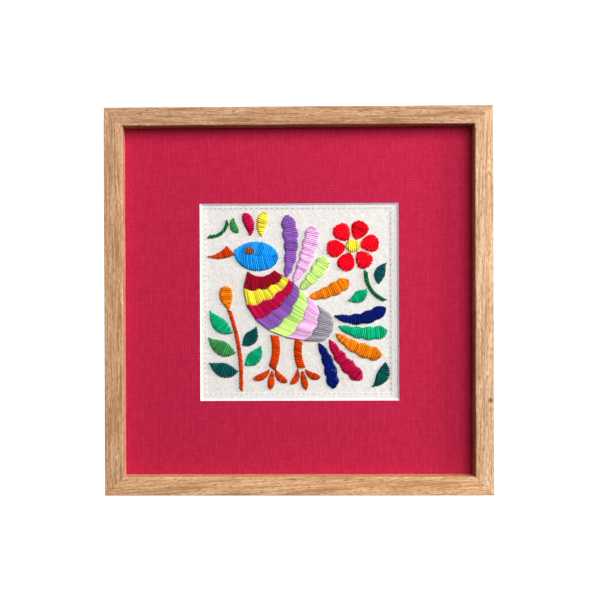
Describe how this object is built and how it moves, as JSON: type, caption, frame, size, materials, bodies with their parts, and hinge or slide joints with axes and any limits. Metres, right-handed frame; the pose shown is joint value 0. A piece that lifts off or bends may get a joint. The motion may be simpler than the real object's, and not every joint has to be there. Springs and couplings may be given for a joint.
{
  "type": "otomi embroidered cloth in a wooden picture frame",
  "caption": "Square hemmed cotton cloth with a folk bird and flower in satin stitch, behind a bevelled crimson mat in a mitred oak picture frame that lies on its back.",
  "frame": {"origin": "under the middle of the frame, on the surface that the rails' backs rest on", "axes": "+Z the way the picture faces, +Y to its upper edge, +X to its right edge"},
  "size_m": [0.25, 0.25, 0.022],
  "materials": {
    "oak": "medium brown oak grain, matt",
    "crimson_board": "crimson paper with a linen emboss over a white core that shows at the bevel, matt",
    "cotton": "off-white plain weave, slightly puckered",
    "grey_board": "plain pressed board, matt",
    "sky_blue_thread": "satin-stitched cotton thread, soft sheen",
    "brown_thread": "satin-stitched cotton thread, soft sheen",
    "rust_thread": "satin-stitched cotton thread, soft sheen",
    "crimson_thread": "satin-stitched cotton thread, soft sheen",
    "yellow_thread": "satin-stitched cotton thread, soft sheen",
    "purple_thread": "satin-stitched cotton thread, soft sheen",
    "pink_thread": "satin-stitched cotton thread, soft sheen",
    "lime_thread": "satin-stitched cotton thread, soft sheen",
    "orange_thread": "satin-stitched cotton thread, soft sheen",
    "navy_thread": "satin-stitched cotton thread, soft sheen",
    "emerald_thread": "satin-stitched cotton thread, soft sheen",
    "stem_green_thread": "satin-stitched cotton thread, soft sheen",
    "teal_thread": "satin-stitched cotton thread, soft sheen",
    "green_thread": "satin-stitched cotton thread, soft sheen",
    "red_thread": "satin-stitched cotton thread, soft sheen",
    "maroon_thread": "satin-stitched cotton thread, soft sheen",
    "grey_thread": "satin-stitched cotton thread, soft sheen"
  },
  "bodies": {
    "root": {"rail_top": "oak", "rail_right": "oak", "rail_bottom": "oak", "rail_left": "oak", "mat_board": "crimson_board", "embroidered_cloth": "cotton", "backing_board": "grey_board", "stitched_head": "sky_blue_thread", "stitched_bird_eye": "brown_thread", "stitched_beak": "rust_thread", "stitched_crest_1": "crimson_thread", "stitched_crest_2": "yellow_thread", "stitched_wing_1": "purple_thread", "stitched_wing_2": "pink_thread", "stitched_wing_3": "lime_thread", "stitched_wing_4": "orange_thread", "stitched_tail_1": "navy_thread", "stitched_tail_2": "emerald_thread", "stitched_tail_3": "orange_thread", "stitched_tail_4": "crimson_thread", "stitched_tail_5": "navy_thread", "stitched_leg_1": "rust_thread", "stitched_toe_1": "rust_thread", "stitched_toe_2": "rust_thread", "stitched_toe_3": "rust_thread", "stitched_leg_2": "rust_thread", "stitched_toe_4": "rust_thread", "stitched_toe_5": "rust_thread", "stitched_toe_6": "rust_thread", "stitched_flower_stem": "stem_green_thread", "stitched_flower_leaf_1": "emerald_thread", "stitched_flower_leaf_2": "teal_thread", "stitched_plant_stem": "rust_thread", "stitched_plant_leaf_1": "teal_thread", "stitched_plant_leaf_2": "emerald_thread", "stitched_plant_leaf_3": "green_thread", "stitched_plant_leaf_4": "teal_thread", "stitched_plant_leaf_5": "emerald_thread", "stitched_plant_bud": "orange_thread", "stitched_corner_stem": "stem_green_thread", "stitched_corner_bud": "green_thread", "stitched_low_leaf_1": "teal_thread", "stitched_flower_eye": "yellow_thread", "stitched_petal_1": "red_thread", "stitched_petal_2": "red_thread", "stitched_petal_3": "red_thread", "stitched_petal_4": "red_thread", "stitched_petal_5": "red_thread", "stitched_petal_6": "red_thread", "stitched_band_1": "maroon_thread", "stitched_band_2": "yellow_thread", "stitched_band_3": "crimson_thread", "stitched_band_4": "purple_thread", "stitched_band_5": "lime_thread", "stitched_band_6": "pink_thread", "stitched_band_7": "grey_thread"}
  },
  "joints": []
}
